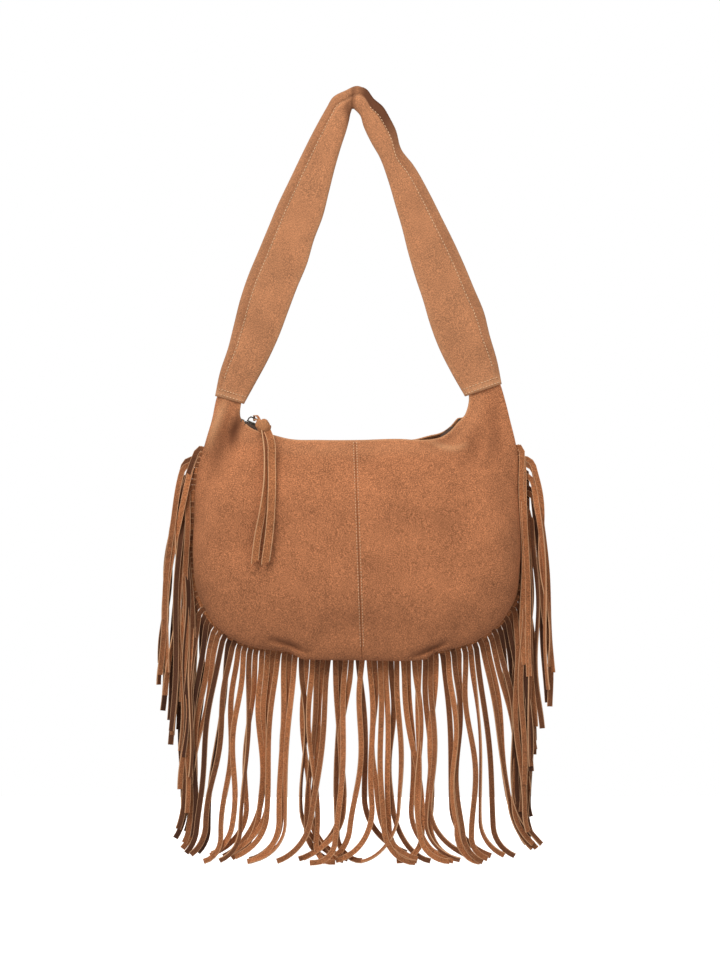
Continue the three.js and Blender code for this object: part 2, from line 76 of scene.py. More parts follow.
def node(tree, kind, inputs, **settings):
    """Adds a node, with its settings, and with each input set to a value or linked to a socket."""
    made = tree.nodes.new(kind)
    for name, value in settings.items():
        setattr(made, name, value)
    for name, value in inputs.items():
        if isinstance(value, bpy.types.NodeSocket):
            tree.links.new(value, made.inputs[name])
        else:
            made.inputs[name].default_value = value
    return made


def linear(hex_colour):
    """An sRGB hex colour as linear red, green, blue and alpha."""
    parts = [int(hex_colour[i:i + 2], 16) / 255 for i in (1, 3, 5)]
    return [c / 12.92 if c <= 0.04045 else ((c + 0.055) / 1.055) ** 2.4 for c in parts] + [1.0]


world = bpy.data.worlds.new("white_sweep")
world.use_nodes = True
world.node_tree.nodes.clear()
seen = node(world.node_tree, "ShaderNodeBackground", {"Color": (1, 1, 1, 1), "Strength": 1.0})
lighting = node(world.node_tree, "ShaderNodeBackground", {"Color": (1, 1, 1, 1), "Strength": 0.46})
ray = node(world.node_tree, "ShaderNodeLightPath", {})
sweep = node(world.node_tree, "ShaderNodeMixShader", {
    0: ray.outputs["Is Camera Ray"], 1: lighting.outputs[0], 2: seen.outputs[0]})
node(world.node_tree, "ShaderNodeOutputWorld", {"Surface": sweep.outputs[0]})
bpy.context.scene.world = world


def lamp(name, place, aim, size, watts):
    """A square area lamp that points at a place."""
    data = bpy.data.lights.new(name, "AREA")
    data.size = size
    data.energy = watts
    made = bpy.data.objects.new(name, data)
    bpy.context.scene.collection.objects.link(made)
    made.location = place
    made.rotation_euler = (Vector(aim) - Vector(place)).to_track_quat("-Z", "Y").to_euler()


lamp("key", (-1.1, -2.0, 1.1), (0, 0, -0.35), 1.1, 35.5)
lamp("fill", (1.7, -2.0, 0.1), (0, 0, -0.4), 1.4, 7)
lamp("top", (0.0, -1.0, 1.6), (0, 0, -0.35), 1.0, 15)
lamp("behind", (0.5, 1.8, 0.6), (0, 0, -0.4), 1.2, 12)

floor_mesh = bpy.data.meshes.new("floor")
floor_z = cad_low.z - FLOOR_CLEARANCE
floor_mesh.from_pydata(
    [(-3, -1.5, floor_z), (3, -1.5, floor_z), (3, 0.65, floor_z), (-3, 0.65, floor_z)], [], [(0, 1, 2, 3)])
floor = bpy.data.objects.new("floor", floor_mesh)
bpy.context.scene.collection.objects.link(floor)
floor.visible_diffuse = False

# White painted board: matt, and lit enough of itself to vanish into the sweep behind it.
painted_board = bpy.data.materials.new("painted_board")
painted_board.use_nodes = True
board = painted_board.node_tree.nodes["Principled BSDF"]
board.inputs["Base Color"].default_value = linear("#f2f0ee")
board.inputs["Roughness"].default_value = 0.9
board.inputs["Emission Color"].default_value = (1, 1, 1, 1)
board.inputs["Emission Strength"].default_value = 0.80
floor_mesh.materials.append(painted_board)


# The thong that pulls the zip.  A suede lace goes through the eye of the slider's bridge, is tied once
# and hangs as two tails cut off aslant.  It swings about the bridge, so it rides on its own body.
def suede(name, colour, pale_and_highlight_colour, painted_shade_colour, rim=None):
    """Suede split: a matt nap that scatters light at grazing angles.  It is cloudy where it has been
    stroked, speckled by its fibres, paler where it is rubbed and under painted highlights, and darker
    with painted shade down in its folds."""
    material = bpy.data.materials.new(name)
    material.use_nodes = True
    tree = material.node_tree
    tree.nodes.clear()
    place = node(tree, "ShaderNodeTexCoord", {}).outputs["Object"]
    # stroked patches about 35 mm across, tufts about 7 mm and fibre bundles about 1 mm
    clouds = node(tree, "ShaderNodeTexNoise", {"Vector": place, "Scale": 28.0, "Detail": 2.0})
    falling = node(tree, "ShaderNodeMapping", {"Vector": place, "Scale": (1.0, 1.0, 0.6)})
    tufts = node(tree, "ShaderNodeTexNoise", {
        "Vector": falling.outputs[0], "Scale": 150.0, "Detail": 4.0})
    fibres = node(tree, "ShaderNodeTexNoise", {
        "Vector": place, "Scale": 1000.0, "Detail": 2.0, "Roughness": 0.7})
    speckle = node(tree, "ShaderNodeMapRange", {
        0: fibres.outputs["Fac"], 1: 0.38, 2: 0.78, 3: 0.0, 4: 1.0})
    light = node(tree, "ShaderNodeMath", {0: clouds.outputs["Fac"], 1: 0.58, 2: 0.13},
                 operation="MULTIPLY_ADD")
    light = node(tree, "ShaderNodeMath", {0: tufts.outputs["Fac"], 1: 0.32, 2: light.outputs[0]},
                 operation="MULTIPLY_ADD")
    light = node(tree, "ShaderNodeMath", {0: speckle.outputs[0], 1: 1.35, 2: light.outputs[0]},
                 operation="MULTIPLY_ADD")
    napped = node(tree, "ShaderNodeHueSaturation", {"Value": light.outputs[0], "Color": linear(colour)})
    # paler where a mesh marks worn edges and painted highlights, darker where it marks painted shade
    pale_and_painted_highlight = node(tree, "ShaderNodeAttribute", {}, attribute_name="pale_and_painted_highlight")
    paled_and_highlit = node(tree, "ShaderNodeMix", {0: pale_and_painted_highlight.outputs["Fac"], 6: napped.outputs[0], 7: linear(pale_and_highlight_colour)},
                data_type="RGBA")
    painted_shade = node(tree, "ShaderNodeAttribute", {}, attribute_name="painted_shade")
    deep = node(tree, "ShaderNodeMix", {0: painted_shade.outputs["Fac"], 6: paled_and_highlit.outputs[2], 7: linear(painted_shade_colour)},
                data_type="RGBA")
    last = deep.outputs[2]
    if rim:
        # a lace's cut edges show the paler middle of the hide
        across = node(tree, "ShaderNodeAttribute", {}, attribute_name="across")
        size = node(tree, "ShaderNodeMath", {0: across.outputs["Fac"]}, operation="ABSOLUTE")
        edge = node(tree, "ShaderNodeMapRange",
                    {0: size.outputs[0], 1: 0.76, 2: 0.98, 3: 0.0, 4: 0.75}, interpolation_type="SMOOTHSTEP")
        cut = node(tree, "ShaderNodeMix", {0: edge.outputs[0], 6: last, 7: linear(rim)}, data_type="RGBA")
        last = cut.outputs[2]
    nap = node(tree, "ShaderNodeBump", {
        "Height": fibres.outputs["Fac"], "Distance": 0.0003, "Strength": 0.55})
    soft = node(tree, "ShaderNodeBump", {
        "Height": tufts.outputs["Fac"], "Distance": 0.0011, "Strength": 0.5, "Normal": nap.outputs[0]})
    shader = node(tree, "ShaderNodeBsdfPrincipled", {
        "Base Color": last, "Roughness": 0.93, "Normal": soft.outputs[0], "Specular IOR Level": 0.18,
        "Sheen Weight": 0.22, "Sheen Roughness": 0.45, "Sheen Tint": linear(pale_and_highlight_colour)})
    node(tree, "ShaderNodeOutputMaterial", {"Surface": shader.outputs[0]})
    return material


def named_tree(name, sizes):
    """An empty Geometry Nodes tree with a geometry input, named size inputs and a material input."""
    tree = bpy.data.node_groups.new(name, "GeometryNodeTree")
    tree.is_modifier = True
    tree.interface.new_socket("Geometry", in_out="INPUT", socket_type="NodeSocketGeometry")
    tree.interface.new_socket("Geometry", in_out="OUTPUT", socket_type="NodeSocketGeometry")
    for label, value in sizes.items():
        socket = tree.interface.new_socket(label, in_out="INPUT", socket_type="NodeSocketFloat")
        socket.default_value = value
    tree.interface.new_socket("Material", in_out="INPUT", socket_type="NodeSocketMaterial")
    return tree, node(tree, "NodeGroupInput", {}), node(tree, "NodeGroupOutput", {})


def end_tree(tree, geometry, given, result):
    """Ends a tree: its instances are made real, and the material is set."""
    real = node(tree, "GeometryNodeRealizeInstances", {"Geometry": geometry})
    painted = node(tree, "GeometryNodeSetMaterial", {
        "Geometry": real.outputs[0], "Material": given.outputs["Material"]})
    tree.links.new(painted.outputs[0], result.inputs["Geometry"])


lace_tree, given, result = named_tree("suede_lace", {"Width": 0.005, "Thickness": 0.0012})
lines = node(lace_tree, "GeometryNodeMeshToCurve", {"Mesh": given.outputs["Geometry"]})
way = node(lace_tree, "GeometryNodeInputNamedAttribute", {"Name": "face_way"}, data_type="FLOAT_VECTOR")
turned = node(lace_tree, "GeometryNodeSetCurveNormal", {
    "Curve": lines.outputs[0], "Normal": way.outputs["Attribute"]}, mode="FREE")
section = node(lace_tree, "GeometryNodeCurvePrimitiveQuadrilateral", {
    "Width": given.outputs["Thickness"], "Height": given.outputs["Width"]})
position = node(lace_tree, "GeometryNodeInputPosition", {})
corner = node(lace_tree, "ShaderNodeSeparateXYZ", {0: position.outputs[0]})
half = node(lace_tree, "ShaderNodeMath", {0: given.outputs["Width"], 1: 0.5}, operation="MULTIPLY")
share = node(lace_tree, "ShaderNodeMath", {0: corner.outputs["Y"], 1: half.outputs[0]}, operation="DIVIDE")
marked = node(lace_tree, "GeometryNodeStoreNamedAttribute", {
    "Geometry": section.outputs[0], "Name": "across", "Value": share.outputs[0]})
swept = node(lace_tree, "GeometryNodeCurveToMesh", {
    "Curve": turned.outputs[0], "Profile Curve": marked.outputs[0], "Fill Caps": True})
end_tree(lace_tree, swept.outputs[0], given, result)


def course(points, count):
    """Evenly spaced points on the smooth line through the given ones."""
    knots = np.array(points, float)
    steps = np.linalg.norm(np.diff(knots, axis=0), axis=1)
    at = np.r_[0, np.cumsum(steps)]
    slope = np.gradient(knots, at, axis=0)
    fine = np.linspace(0, at[-1], 60 * len(knots))
    k = np.clip(np.searchsorted(at, fine, "right") - 1, 0, len(steps) - 1)
    h = steps[k][:, None]
    t = ((fine - at[k]) / steps[k])[:, None]
    line = ((2 * t**3 - 3 * t**2 + 1) * knots[k] + (t**3 - 2 * t**2 + t) * h * slope[k]
            + (3 * t**2 - 2 * t**3) * knots[k + 1] + (t**3 - t**2) * h * slope[k + 1])
    run = np.r_[0, np.cumsum(np.linalg.norm(np.diff(line, axis=0), axis=1))]
    wanted = np.linspace(0, run[-1], count)
    return np.stack([np.interp(wanted, run, line[:, i]) for i in range(line.shape[1])], axis=1)


def grown(name, tree, paths, ways, material, painted_shades=None, **sizes):
    """Runs a tree over open lines, each with the way it faces at every point, and a painted shade for each
    line where they differ.  Returns a plain mesh object."""
    mesh = bpy.data.meshes.new(name + "_lines")
    corners = np.concatenate(paths) * MM
    edges, start = [], 0
    for path in paths:
        edges += [(start + i, start + i + 1) for i in range(len(path) - 1)]
        start += len(path)
    mesh.from_pydata(corners.tolist(), edges, [])
    mesh.attributes.new("face_way", "FLOAT_VECTOR", "POINT").data.foreach_set(
        "vector", np.concatenate(ways).ravel())
    if painted_shades is not None:
        mesh.attributes.new("painted_shade", "FLOAT", "POINT").data.foreach_set("value", np.concatenate(painted_shades))
    made = bpy.data.objects.new(name, mesh)
    bpy.context.scene.collection.objects.link(made)
    modifier = made.modifiers.new("grow", "NODES")
    modifier.node_group = tree
    wanted = {**{label.replace("_", " ").capitalize(): value for label, value in sizes.items()},
              "Material": material}
    for item in tree.interface.items_tree:
        if item.in_out == "INPUT" and item.name in wanted:
            modifier[item.identifier] = wanted[item.name]
    bpy.context.view_layer.update()
    plain = bpy.data.meshes.new_from_object(made.evaluated_get(bpy.context.evaluated_depsgraph_get()))
    made.modifiers.remove(modifier)
    made.data = plain
    plain.name = name
    return made


def soft_edges(obj, degrees=40):
    """Smooth shading that keeps the corners of a cut edge."""
    obj.data.shade_smooth()
    obj.data.set_sharp_from_angle(angle=math.radians(degrees))


lace_suede = suede("lace_suede", "#a86b44", "#cf9a6c", "#5f3a24", rim="#dcae84")
TAIL_THICKNESS = 1.4
TAIL_FRONT = 1.5  # the tails leave the knot this far in front of its middle
BELLY_BOW = 25.5  # and come this much farther forwards over the belly
KNOT = np.array([-88.5, -23.0, -319.5])


def tail(name, points, widths, twists, slant):
    """One tail of the thong, which bows forwards over the belly to its slanted end."""
    flat = course(points, 40)
    s = np.linspace(0, 1, len(flat))
    bow = KNOT[1] - TAIL_FRONT - BELLY_BOW * (1 - (1 - s) ** 2.4)
    path = np.stack([flat[:, 0], bow, flat[:, 1]], axis=1)
    turn = np.radians(np.interp(s, np.linspace(0, 1, len(twists)), twists))
    ways = np.stack([np.sin(turn), -np.cos(turn), 0 * turn], axis=1)
    made = grown(name, lace_tree, [path], [ways], lace_suede, width=widths[1] * MM,
                 thickness=TAIL_THICKNESS * MM)
    across = np.zeros(len(made.data.vertices))
    made.data.attributes["across"].data.foreach_get("value", across)
    top, bottom = path[0, 2] * MM, path[-1, 2] * MM
    for vertex, c in zip(made.data.vertices, across):
        down = (top - vertex.co.z) / (top - bottom)
        centre = Vector([np.interp(down, s, path[:, i]) * MM for i in range(3)])
        narrowing = widths[0] / widths[1] + (1 - widths[0] / widths[1]) * min(1, max(0, down))
        vertex.co.x = centre.x + (vertex.co.x - centre.x) * narrowing
        if down > 0.99:
            vertex.co.z += c * slant * MM
    soft_edges(made)
    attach(made, "thong")
    return made


tail("thong_tail_front", [(-85.5, -322), (-81, -333), (-79.6, -356), (-79.3, -373), (-79.8, -396),
                          (-82.3, -431), (-85.7, -455)], (7.6, 8.2), (25, -6, 10, 18, -6, 4), -2.4)
tail("thong_tail_behind", [(-89, -322), (-86.4, -340), (-85.6, -356), (-86, -381), (-89, -406),
                           (-93.5, -431), (-96, -454)], (5.5, 7.2), (60, 66, 58, 35, 20, 12), -2.2)

pivot = np.array([-98.4, 0, -311.1])
loop_points = [(7.5, -18, -6.5), (3.2, -10, -1.6), (0.6, -4, -1.9), (0, 1.4, -2.0), (0, 3, 0),
               (0, 1.4, 2.0), (0.6, -3, 2.2), (3.2, -9.5, 2.0), (7, -17, -3.6)]
loop = course(loop_points, 72) + pivot
loop_steps = np.gradient(loop, axis=0) * (0, 1, 1)
loop_ways = np.cross(loop_steps, (1, 0, 0))
loop_ways /= np.linalg.norm(loop_ways, axis=1)[:, None]
bridge_loop = grown("thong_loop", lace_tree, [loop], [loop_ways], lace_suede, width=2.2 * MM,
                    thickness=1.1 * MM)
soft_edges(bridge_loop)

# The knot is drawn up tight: a rounded lump with one wide turn of the lace lying round it aslant.
KNOT_RADII = (7.2, 5.8, 8.2)
TURN_AXIS = Vector((0.45, 0.05, 0.89)).normalized()
TURN_HALF_WIDTH = 0.56
TURN_RAISED = 0.20
lump = bmesh.new()
bmesh.ops.create_icosphere(lump, subdivisions=6, radius=1)
edge_paleness = []
for vertex in lump.verts:
    way = vertex.co.normalized()
    height = way.dot(TURN_AXIS)
    inside_turn = float(np.clip((TURN_HALF_WIDTH - abs(height)) / 0.07, 0, 1))
    inside_turn = inside_turn * inside_turn * (3 - 2 * inside_turn)
    tuck = 0.10 * math.exp(-((way.x + 0.25) / 0.2) ** 2) * max(0.0, way.z)
    size = 0.90 + TURN_RAISED * inside_turn + 0.05 * noise.noise(way * 2.1) - tuck
    vertex.co = Vector([KNOT[i] + way[i] * KNOT_RADII[i] * size for i in range(3)]) * MM
    edge_paleness.append(0.25 + 0.65 * math.exp(-((abs(height) - TURN_HALF_WIDTH + 0.01) / 0.06) ** 2))
knot = bpy.data.objects.new("thong_knot", bpy.data.meshes.new("thong_knot"))
lump.to_mesh(knot.data)
lump.free()
knot.data.attributes.new("pale_and_painted_highlight", "FLOAT", "POINT").data.foreach_set("value", edge_paleness)
knot.data.materials.append(lace_suede)
knot.data.shade_smooth()
bpy.context.scene.collection.objects.link(knot)
for piece in (knot, bridge_loop):
    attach(piece, "thong")
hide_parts("puller_thong")


# The body: two front and two back panels of suede.  Each front and back pair is joined by a stitched
# centre seam, and front and back meet in the outer seam, which also holds the fringe.
TOP_EDGE = [
    (-110.5, -284.5), (-111.5, -297), (-112.5, -304), (-112.3, -310), (-108.5, -314.5), (-102.5, -320),
    (-94.5, -324), (-82.5, -327), (-62.5, -332), (-32.5, -333), (7.5, -333), (47.5, -332), (67.5, -333),
    (77.5, -332.5), (89.5, -329.5), (97.5, -324), (105.5, -315), (112, -308.5), (115, -301),
    (116.5, -291), (115.2, -281)]
OUTLINE = [
    (-130.5, -277.5), (-135.5, -290), (-140.5, -313), (-147, -335), (-155.5, -368), (-158.5, -413),
    (-159.5, -453), (-155.5, -483), (-143.5, -508), (-125.5, -527), (-108.5, -536), (-65.5, -543.5),
    (8, -546), (70.5, -545.5), (105.5, -539), (127.5, -530), (148, -514), (162, -494), (167.5, -458),
    (167, -395), (163.5, -338), (157.5, -313), (152.5, -293), (147, -275), (143.5, -267)]
SUEDE_THICKNESS = 1.4
SEAM_FACE = 0.9
HEM = 7.6
FULL_DEPTH = 43
EAR_DEPTH = 3.2
WAVE_MARGIN = 1.5  # how far the waves of the leather may stand past the full depth
top_line = course(TOP_EDGE, 3001)
outline = course(OUTLINE, 3001)


def smooth(t):
    """A step from 0 to 1 without corners."""
    t = np.clip(t, 0, 1)
    return t * t * (3 - 2 * t)


def at_share(line, share):
    """The points of a finely spaced line at shares of its length."""
    place = np.clip(share, 0, 1) * (len(line) - 1)
    numbers = np.arange(len(line))
    return np.stack([np.interp(place, numbers, column) for column in line.T], axis=-1)


def distance_to(line, x, z):
    """Distance of each point from a line, and the share of the line that it is nearest to."""
    gaps = np.hypot(x[..., None] - line[:, 0], z[..., None] - line[:, 1])
    return gaps.min(-1), gaps.argmin(-1) / (len(line) - 1)


# Creases pressed into the front: the line, its half width, its depth, and how much painted shade darkens it.
FRONT_CREASES = [
    ([(-112, -307), (-117, -320), (-123, -341)], 6.5, 6.0, 1.0),
    ([(-113, -312), (-124, -326), (-134, -344), (-140, -364)], 9.0, 4.4, 0.62),
    ([(104, -326), (96, -332), (86, -336), (70, -339)], 3.6, 2.0, 0.30),
    ([(126, -326), (121, -343), (112, -354)], 8.0, 3.0, 0.34),
    ([(140, -308), (144, -330), (141, -354)], 8.0, 3.0, 0.34),
    ([(-81.5, -531), (-65.5, -535), (-42, -545)], 2.8, 5.0, 0.85),
    ([(60, -548), (80, -540), (93, -534)], 2.8, 5.0, 0.85),
    ([(-147, -430), (-120, -440), (-84, -436)], 16.0, 1.8, 0.08),
    ([(96, -438), (122, -452), (150, -456)], 15.0, 1.8, 0.08),
    ([(-70, -500), (-20, -516), (40, -512)], 13.0, 1.4, 0.06),
]
# Ridges raised from it: the line, its half width, its height, and how much a painted highlight pales it.
FRONT_RIDGES = [
    ([(-127, -294), (-134, -312), (-143, -338)], 6.0, 3.4, 0.45),
    ([(76, -334), (88, -339), (104, -341), (112, -338)], 3.6, 2.8, 0.42),
    ([(-106, -318), (-96, -329), (-80, -336)], 5.0, 1.4, 0.15),
]


def shell(name, shares, side, material, steps=92):
    """A panel as a grid of cross lines, each running from the top edge to the outer seam."""
    upper = at_share(top_line, shares)
    lower = at_share(outline, shares)
    if side > 0:
        upper[:, 1] += 4.6 * smooth((upper[:, 0] - 55) / 26) * smooth((112 - upper[:, 0]) / 8)
    length = np.linalg.norm(lower - upper, axis=1)[:, None]
    down = (lower - upper) / length
    s = np.linspace(0, 1, steps)[None, :]
    t = s - 0.11 * np.sin(2 * np.pi * s)
    zip_part = smooth((np.minimum(shares, 1 - shares) - 0.06) / 0.045)[:, None]
    hem = 2.3 + (HEM - 2.3) * zip_part
    depth = EAR_DEPTH + (FULL_DEPTH - EAR_DEPTH) * smooth((length - 26) / 132)
    rise = 8 + 23 * smooth((length - 40) / 90)
    d = t * length
    full = hem + (depth - hem) * (1 - np.exp(-(d + 2.5) / rise))
    from_seam = np.clip((length - d) / np.minimum(64, length * 0.75), 0, 1)
    y = SEAM_FACE + np.maximum(SUEDE_THICKNESS, (full - SEAM_FACE) * np.sqrt(1 - (1 - from_seam) ** 2))
    left = (1 - t) * length
    # the full belly hangs over its own seam, most in the middle
    middle_belly = smooth((lower[:, :1] + 64) / 16) * smooth((84 - lower[:, :1]) / 14)
    hang = (6.0 + 6.8 * middle_belly) * smooth((length - 180) / 26)
    hang = hang * np.exp(-((left - 7) / 9.5) ** 2) * (1 - np.exp(-(left / 3.2) ** 2))
    x = upper[:, :1] + down[:, :1] * (d + hang)
    z = upper[:, 1:] + down[:, 1:] * (d + hang)
    # painted shade along the bottom seam under the hanging belly; paler along the top edge, partly wear and
    # partly a painted highlight where the folded edge faces up
    painted_shade = 0.28 * smooth(1 - left / 24) * smooth((length - 150) / 60)
    pale_and_painted_highlight = 0.42 * np.exp(-(d / 1.6) ** 2) + 0.10 * np.exp(-((d - 8) / 9) ** 2)
    shift = np.zeros_like(y)
    if side < 0:
        # creases are darkened with painted shade, and ridges are paled with a painted highlight
        for points, width, deep, painted_shade_amount in FRONT_CREASES:
            gap, place = distance_to(course(points, 40), x, z)
            print_in = np.exp(-(gap / width) ** 2) * np.sin(np.pi * np.clip(0.12 + 0.80 * place, 0, 1)) ** 0.7
            shift -= deep * print_in
            painted_shade = np.maximum(painted_shade, painted_shade_amount * print_in)
        for points, width, high, painted_highlight_amount in FRONT_RIDGES:
            gap, place = distance_to(course(points, 40), x, z)
            raised = np.exp(-(gap / width) ** 2) * np.sin(np.pi * np.clip(0.10 + 0.80 * place, 0, 1)) ** 0.7
            shift += high * raised
            pale_and_painted_highlight = np.maximum(pale_and_painted_highlight, painted_highlight_amount * raised)
    # the centre seam pulls both panels in along a narrow groove, with painted shade down in it
    from_centre = np.abs(shares[:, None] - 0.5) * (300 + 400 * t)
    inner = smooth(d / 6) * smooth(left / 10)
    shift -= (0.8 * np.exp(-from_centre / 0.9) + 0.5 * np.exp(-(from_centre / 7) ** 2)) * inner
    painted_shade = np.maximum(painted_shade, 0.16 * np.exp(-(from_centre / 0.7) ** 2) * inner)
    waves = np.array([[noise.noise(Vector((a / 62, side * 3.1, c / 55))) for a, c in zip(row_x, row_z)]
                      for row_x, row_z in zip(x, z)])
    small = np.array([[noise.noise(Vector((a / 21, side * 7.7, c / 24))) for a, c in zip(row_x, row_z)]
                      for row_x, row_z in zip(x, z)])
    shift += (2.0 * waves + 0.5 * small) * smooth(d / 14) * smooth(left / 18) * smooth((length - 50) / 70)
    y = np.maximum(SEAM_FACE + SUEDE_THICKNESS, y + shift)
    y = np.minimum(y, FULL_DEPTH + WAVE_MARGIN)
    rows, columns = x.shape
    mesh = bpy.data.meshes.new(name)
    corners = np.stack([x, side * y, z], axis=-1).reshape(-1, 3) * MM
    faces = [(i * columns + j, (i + 1) * columns + j, (i + 1) * columns + j + 1, i * columns + j + 1)
             for i in range(rows - 1) for j in range(columns - 1)]
    if side < 0:
        faces = [face[::-1] for face in faces]
    mesh.from_pydata(corners.tolist(), [], faces)
    for label, values in (("painted_shade", painted_shade), ("pale_and_painted_highlight", pale_and_painted_highlight)):
        attribute = mesh.attributes.new(label, "FLOAT", "POINT")
        attribute.data.foreach_set("value", np.broadcast_to(values, x.shape).ravel())
    mesh.materials.append(material)
    made = bpy.data.objects.new(name, mesh)
    bpy.context.scene.collection.objects.link(made)
    wall = made.modifiers.new("wall", "SOLIDIFY")
    wall.thickness = SUEDE_THICKNESS * MM
    wall.offset = -1
    mesh.shade_smooth()
    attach(made, "bag")
    return made


panel_suede = suede("panel_suede", "#b0714b", "#d6a377", "#633a24")
towards_seam = np.linspace(0, 1, 104)
left_shares = 0.5 * (1 - (1 - towards_seam) ** 1.35) * 0.9998
for word, side in (("front", -1), ("back", 1)):
    for half_name, shares in (("left", left_shares), ("right", (1 - left_shares)[::-1])):
        panel = shell(f"{word}_panel_{half_name}_suede", shares, side, panel_suede)
        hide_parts(f"{word}_panel_{half_name}")


# The stitches of the centre seam: two rows of thread, 3 mm apart, from the zip to the outer seam.
stitch_tree, given, result = named_tree("thread_stitches", {
    "Pitch": 0.003, "Length": 0.002, "Thread": 0.0006})
lines = node(stitch_tree, "GeometryNodeMeshToCurve", {"Mesh": given.outputs["Geometry"]})
spaced = node(stitch_tree, "GeometryNodeResampleCurve", {
    "Curve": lines.outputs[0], "Length": given.outputs["Pitch"]}, mode="LENGTH")
bead = node(stitch_tree, "GeometryNodeMeshUVSphere", {"Segments": 6, "Rings": 4, "Radius": 0.5})
shape = node(stitch_tree, "ShaderNodeCombineXYZ", {
    "X": given.outputs["Length"], "Y": given.outputs["Thread"], "Z": given.outputs["Thread"]})
scaled = node(stitch_tree, "GeometryNodeTransform", {"Geometry": bead.outputs[0], "Scale": shape.outputs[0]})
tangent = node(stitch_tree, "GeometryNodeInputTangent", {})
lined_up = node(stitch_tree, "FunctionNodeAlignRotationToVector", {"Vector": tangent.outputs[0]}, axis="X")
planted = node(stitch_tree, "GeometryNodeInstanceOnPoints", {
    "Points": spaced.outputs[0], "Instance": scaled.outputs[0], "Rotation": lined_up.outputs[0]})
rounded = node(stitch_tree, "GeometryNodeSetShadeSmooth", {"Geometry": planted.outputs[0]})
end_tree(stitch_tree, rounded.outputs[0], given, result)


def fibre(name, colour, rough, ridges_mm):
    """Spun or woven fibre: matt, with fine ridges along the weave and a slightly uneven dye."""
    material = bpy.data.materials.new(name)
    material.use_nodes = True
    tree = material.node_tree
    shader = tree.nodes["Principled BSDF"]
    place = node(tree, "ShaderNodeTexCoord", {}).outputs["Object"]
    weave = node(tree, "ShaderNodeTexWave", {
        "Vector": place, "Scale": 1 / (ridges_mm * MM * math.pi), "Distortion": 1.5, "Detail": 2.0},
        bands_direction="DIAGONAL")
    uneven = node(tree, "ShaderNodeTexNoise", {"Vector": place, "Scale": 90.0, "Detail": 3.0})
    value = node(tree, "ShaderNodeMath", {0: uneven.outputs["Fac"], 1: 0.5, 2: 0.75},
                 operation="MULTIPLY_ADD")
    dyed = node(tree, "ShaderNodeHueSaturation", {"Value": value.outputs[0], "Color": linear(colour)})
    bump = node(tree, "ShaderNodeBump", {"Height": weave.outputs["Fac"], "Distance": 0.0003, "Strength": 0.6})
    tree.links.new(dyed.outputs[0], shader.inputs["Base Color"])
    tree.links.new(bump.outputs[0], shader.inputs["Normal"])
    shader.inputs["Roughness"].default_value = rough
    shader.inputs["Specular IOR Level"].default_value = 0.25
    return material


polyester_thread = fibre("polyester_thread", "#eec59b", 0.6, 0.4)


def surface_depth(obj):
    """A lookup of how far a finished panel stands from the seam plane, at points of the front view."""
    corners = np.array([v.co for v in obj.data.vertices]) / MM

    def look(points):
        gaps = np.hypot(points[:, None, 0] - corners[:, 0], points[:, None, 1] - corners[:, 2])
        return corners[gaps.argmin(1), 1]
    return look


def stitch_rows(name, rows, pitch=3.0, length=2.1, thread=0.85, body="bag"):
    """Rows of stitches along lines of points in the front view plus a depth."""
    ways = [np.tile((0.0, -1.0, 0.0), (len(row), 1)) for row in rows]
    made = grown(name, stitch_tree, rows, ways, polyester_thread, pitch=pitch * MM, length=length * MM,
                 thread=thread * MM)
    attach(made, body)
    return made


for word, side in (("front", -1), ("back", 1)):
    rows = []
    for half_name, step in (("left", -1.6), ("right", 1.6)):
        look = surface_depth(bpy.data.objects[f"{word}_panel_{half_name}_suede"])
        seam = np.linspace(top_line[1500] + (step, -3), outline[1500] + (step, 9), 120)
        depth = look(seam)
        depth = np.convolve(np.pad(depth, 4, "edge"), np.ones(9) / 9, "valid")
        rows.append(np.stack([seam[:, 0], depth + side * 0.25, seam[:, 1]], axis=1))
    stitch_rows(f"{word}_seam_stitches", rows, thread=0.65)


# The strap: a long piece of suede folded into a flattened tube and sewn along its outer edge.  Its
# ends sleeve over the two ears of the body and are stitched through.
STRAP_OUTER = [
    (-137.5, -289), (-132.5, -265), (-124.5, -241), (-118.5, -217), (-112.5, -193), (-104.5, -169),
    (-94.5, -145), (-84.5, -121), (-74.5, -97), (-62.5, -72), (-50, -46), (-41.1, -28.2), (-33, -13),
    (-25.9, -0.5), (-19.6, 9.8), (-7.1, 16.5), (5, 21.2), (13.4, 18.2), (21.4, 8.4),
    (30.4, 0.4), (37.5, -11.2), (42.9, -21.9), (49.1, -42.5), (60.7, -57.6), (77.5, -87),
    (88.5, -109), (100.5, -133), (111.5, -157), (121.5, -181), (131.5, -205), (137.5, -229),
    (144.5, -253), (149.3, -277)]
STRAP_INNER = [
    (-108.5, -297), (-97.5, -277), (-84.5, -253), (-73.5, -229), (-64.5, -205), (-55.5, -181),
    (-45.5, -157), (-38.5, -133), (-29.5, -109), (-23.5, -85), (-17.5, -61), (-10.5, -37), (-6.5, -25),
    (-3.5, -14), (-1.5, -5), (0.2, -1.2), (3.2, -3.5), (7.4, -8), (10.7, -18.4), (19.5, -37),
    (26.5, -49), (35.5, -73), (42.5, -97), (49.5, -121), (55.5, -145), (62.5, -169), (70.5, -193),
    (77.5, -217), (86.5, -241), (98.5, -265), (112.5, -289.5)]
STRAP_HALF_THICKNESS = [5.4, 4.4, 4.0, 4.6, 7.4, 4.6, 4.0, 4.4, 5.4]
STRAP_STATIONS = 260
STRAP_SIDES = 88
SEAM_INSET = 10.0  # from the outer edge to its row of stitches, less near the ends

